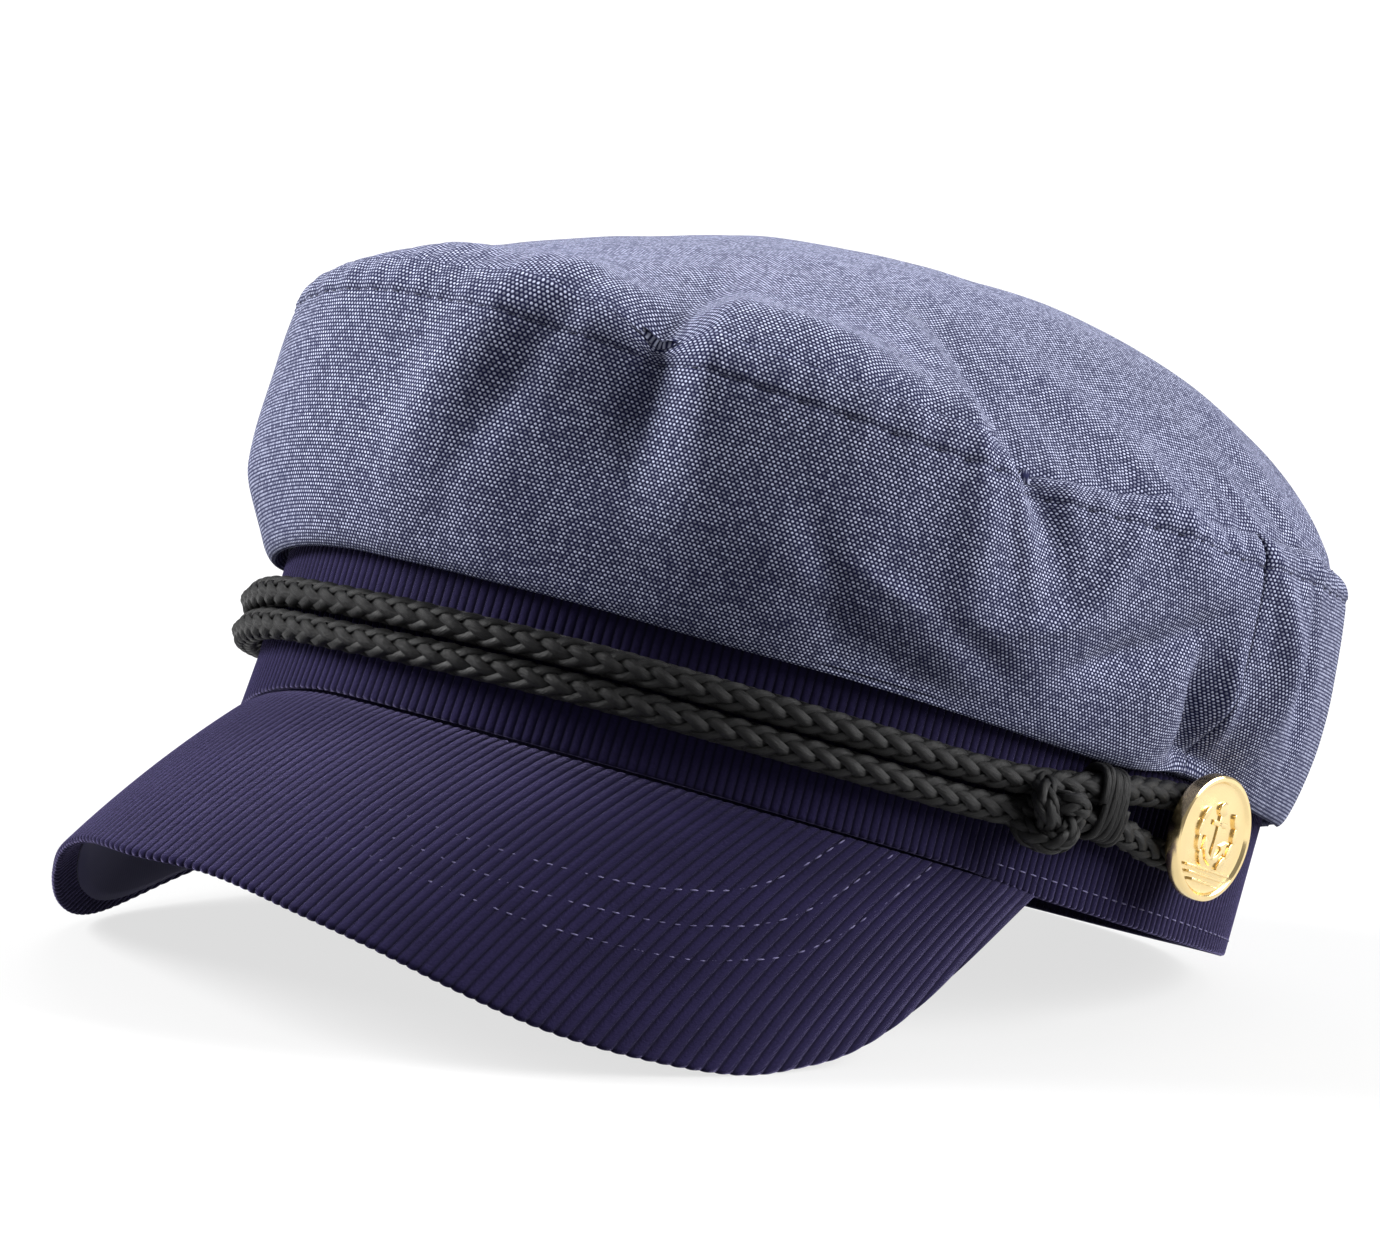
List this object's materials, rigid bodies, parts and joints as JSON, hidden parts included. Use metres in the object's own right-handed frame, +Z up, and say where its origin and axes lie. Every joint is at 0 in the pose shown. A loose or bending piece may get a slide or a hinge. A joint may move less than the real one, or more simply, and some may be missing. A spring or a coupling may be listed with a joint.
{
  "type": "breton fisherman cap",
  "caption": "Soft peaked cap with a puffed cloth crown on a corduroy band, a drooping corduroy peak, a doubled braided cord with sliding knots, and a metal button at each side.",
  "frame": {"origin": "centre of the bounding box in plan, on the table that the cap rests on", "axes": "+X is the wearer's left, -Y is the way the peak points, +Z is up as the cap stands on its peak's two sides and the back of its band"},
  "size_m": [0.188, 0.2638, 0.1343],
  "materials": {
    "chambray": "blue-grey cotton, dark weft crossed by white warp, matt",
    "corduroy": "navy cotton corduroy, wales 1.8 mm apart, matt pile",
    "cord": "black braided cord with a soft sheen",
    "gilt": "polished gilt, cast relief"
  },
  "bodies": {
    "root": {"band": "corduroy", "peak": "corduroy", "crown_front_panel": "chambray", "crown_back_panel": "chambray", "crown_top_panel": "chambray", "cord": "cord", "button_left": "gilt", "button_right": "gilt"}
  },
  "joints": []
}
